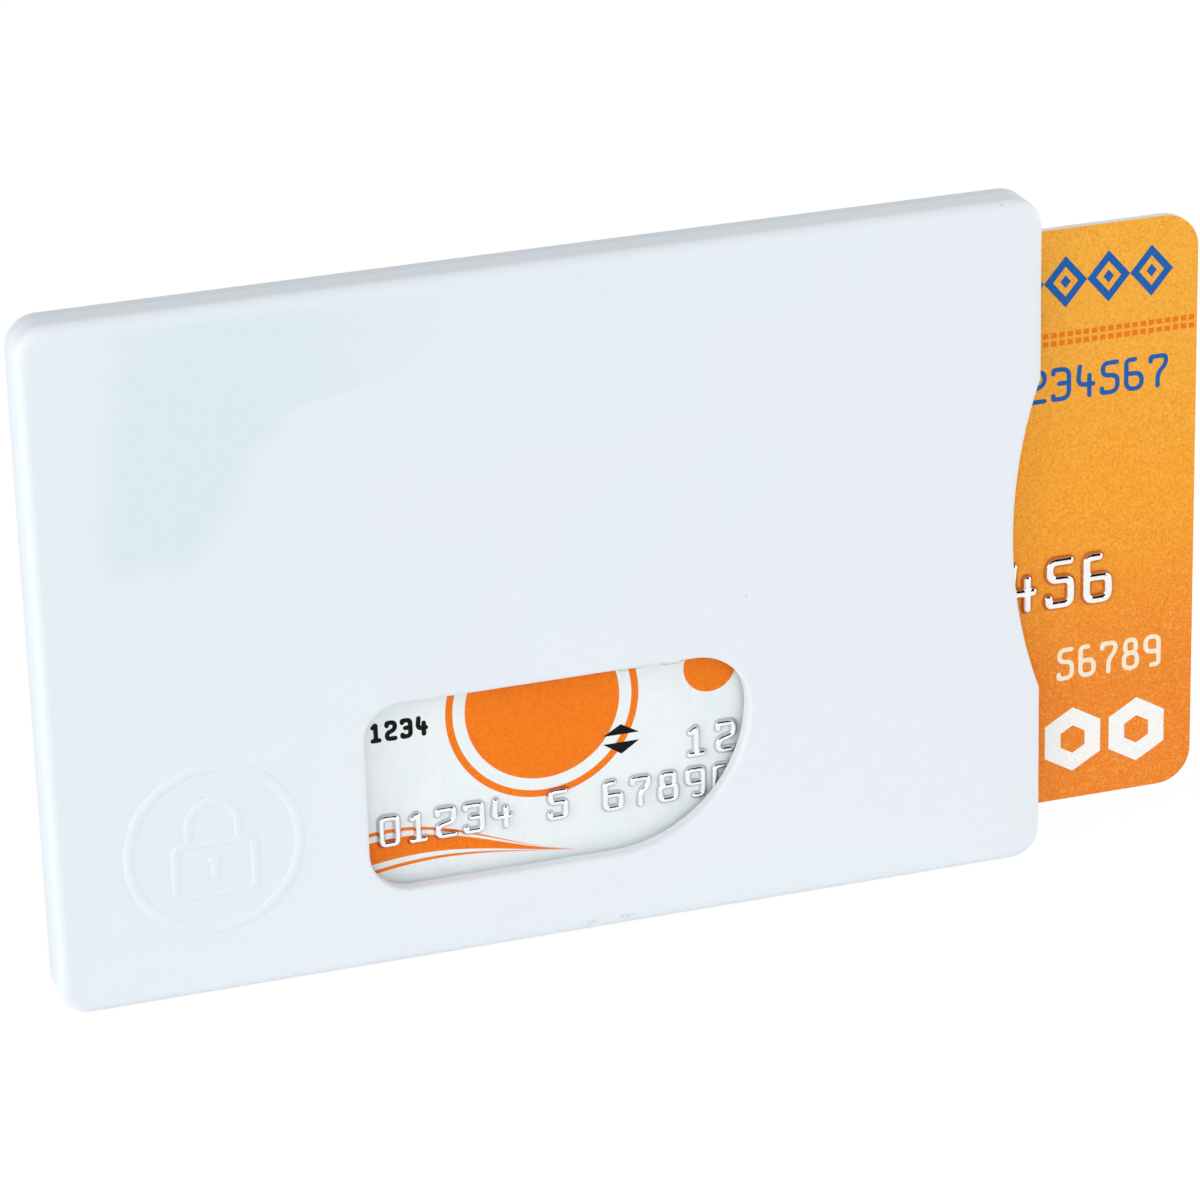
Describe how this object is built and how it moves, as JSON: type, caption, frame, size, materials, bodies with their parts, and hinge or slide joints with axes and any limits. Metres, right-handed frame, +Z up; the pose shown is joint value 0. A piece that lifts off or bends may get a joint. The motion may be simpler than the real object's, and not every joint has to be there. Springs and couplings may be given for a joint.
{
  "type": "rigid card sleeve",
  "caption": "Rigid plastic sleeve that screens a contactless card, with a thumb window, a notched mouth and the card drawn part of the way out.",
  "frame": {"origin": "centre of the sleeve's bottom long edge, halfway through its thickness, where it rests", "axes": "+X towards the mouth and the drawn-out card, +Y towards the back, so the windowed front faces -Y, +Z up"},
  "size_m": [0.1053, 0.005, 0.062],
  "materials": {
    "front_shell": "smooth white moulded plastic with a soft gloss",
    "back_shell": "smooth white moulded plastic with a soft gloss",
    "bond_film": "thin adhesive film",
    "shield_foil": "bright rolled foil",
    "card_front_print": "printed orange and white under a clear gloss overlay",
    "card_core": "white card core sheet",
    "antenna_sheet": "thin carrier sheet",
    "antenna_copper": null,
    "card_back_print": "printed off-white under a clear gloss overlay",
    "contact_gold": "gold-plated contacts",
    "module_board": "glass-epoxy board",
    "chip_silicon": "silicon",
    "chip_resin": "black sealing resin",
    "magnetic_stripe": "dark brown magnetic coating",
    "signature_panel": "white panel that takes ink"
  },
  "bodies": {
    "sleeve": {"front_shell": "front_shell", "back_shell": "back_shell", "front_bond_film": "bond_film", "front_shield": "shield_foil", "back_bond_film": "bond_film", "back_shield": "shield_foil"},
    "card": {"card_front_overlay": "card_front_print", "card_front_core": "card_core", "antenna_inlay": "antenna_sheet", "antenna_coil": "antenna_copper", "antenna_bridge": "antenna_copper", "card_back_core": "card_core", "card_back_overlay": "card_back_print", "contact_plate": "contact_gold", "module_board": "module_board", "module_adhesive": "bond_film", "chip_die": "chip_silicon", "chip_resin": "chip_resin", "magnetic_stripe": "magnetic_stripe", "signature_panel": "signature_panel"}
  },
  "joints": [
    {"name": "card_slide", "type": "slide", "parent": "sleeve", "child": "card", "axis": [1, 0, 0], "range_m": [-0.0168, 0.072]}
  ]
}
